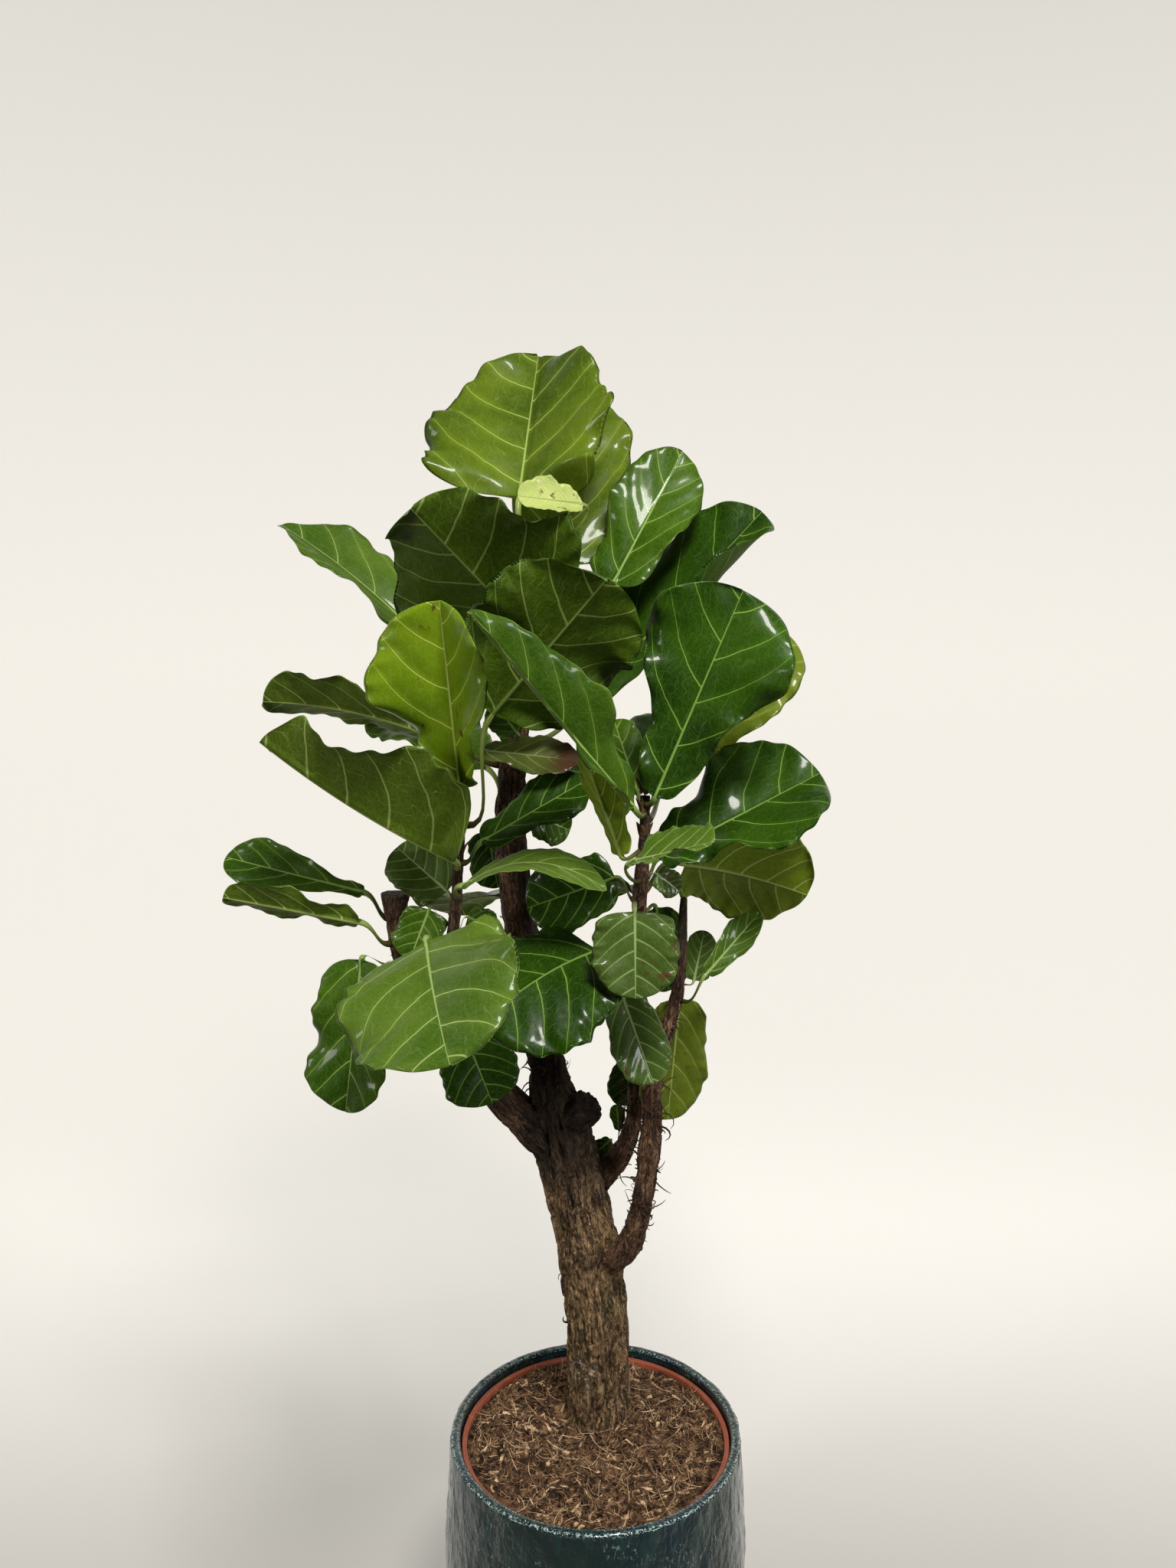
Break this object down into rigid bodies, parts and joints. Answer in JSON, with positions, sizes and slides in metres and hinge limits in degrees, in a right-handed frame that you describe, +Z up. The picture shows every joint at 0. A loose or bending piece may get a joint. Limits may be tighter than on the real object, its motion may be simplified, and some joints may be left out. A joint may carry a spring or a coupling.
{
  "type": "potted fiddle leaf fig",
  "caption": "Branching fiddle leaf fig tree with large waxy leaves, standing in a plastic grower's pot inside a dark glazed ceramic cover pot.",
  "frame": {"origin": "centre of the cover pot's flat underside", "axes": "+Z up along the plant, -Y is the front of the plant, +X to its right as seen from the front"},
  "size_m": [0.6748, 0.5739, 1.6124],
  "materials": {
    "glaze": "dark teal-green glossy glaze with pale mottling on the rim",
    "terracotta_plastic": "satin terracotta-coloured plastic",
    "soil": "loose brown coir and peat with pale fibres",
    "bark": "rough grey-brown fissured bark",
    "leaf": "waxy deep green leaf with pale veins",
    "leaf_pale": "waxy yellow-green leaf with pale veins"
  },
  "bodies": {
    "root": {"ceramic_pot": "glaze", "nursery_pot": "terracotta_plastic", "soil": "soil", "wood": "bark", "leaf_crown_top": "leaf_pale", "leaf_crown_behind": "leaf_pale", "leaf_crown_young": "leaf_pale", "leaf_crown_front_left": "leaf", "leaf_crown_upper_right": "leaf", "leaf_crown_right_shaded": "leaf", "leaf_crown_right_long": "leaf", "leaf_crown_far_left": "leaf", "leaf_crown_left_low": "leaf", "leaf_leader_brown_tip": "leaf", "leaf_leader_small": "leaf", "leaf_leader_left_behind": "leaf", "leaf_leader_right_behind": "leaf", "leaf_left_shoot_dark": "leaf", "leaf_left_shoot_upright": "leaf", "leaf_left_shoot_large": "leaf", "leaf_left_shoot_inner": "leaf", "leaf_left_shoot_arching": "leaf", "leaf_left_shoot_spotted": "leaf", "leaf_left_shoot_hanging": "leaf", "leaf_left_shoot_small": "leaf", "leaf_left_shoot_front": "leaf", "leaf_limb_upper": "leaf", "leaf_limb_lower": "leaf", "leaf_limb_drooping": "leaf", "leaf_limb_under": "leaf", "leaf_right_shoot_large": "leaf", "leaf_right_shoot_long_front": "leaf", "leaf_right_shoot_behind": "leaf", "leaf_right_shoot_blue": "leaf", "leaf_right_shoot_wide": "leaf", "leaf_right_shoot_curled": "leaf", "leaf_right_shoot_crescent": "leaf", "leaf_right_shoot_olive": "leaf", "leaf_right_shoot_stub": "leaf", "leaf_right_shoot_inner": "leaf", "leaf_right_shoot_round": "leaf", "leaf_right_shoot_dark": "leaf", "leaf_right_back_glossy": "leaf", "leaf_right_back_hanging": "leaf", "leaf_right_back_small": "leaf", "leaf_right_back_bud": "leaf", "leaf_right_back_tiny": "leaf", "leaf_right_front_twisted": "leaf", "leaf_right_front_spotted": "leaf", "leaf_right_front_hanging": "leaf", "leaf_back_upper": "leaf", "leaf_back_left": "leaf", "leaf_back_right": "leaf", "leaf_back_low_left": "leaf", "leaf_back_low_right": "leaf", "leaf_back_branch": "leaf"}
  },
  "joints": []
}
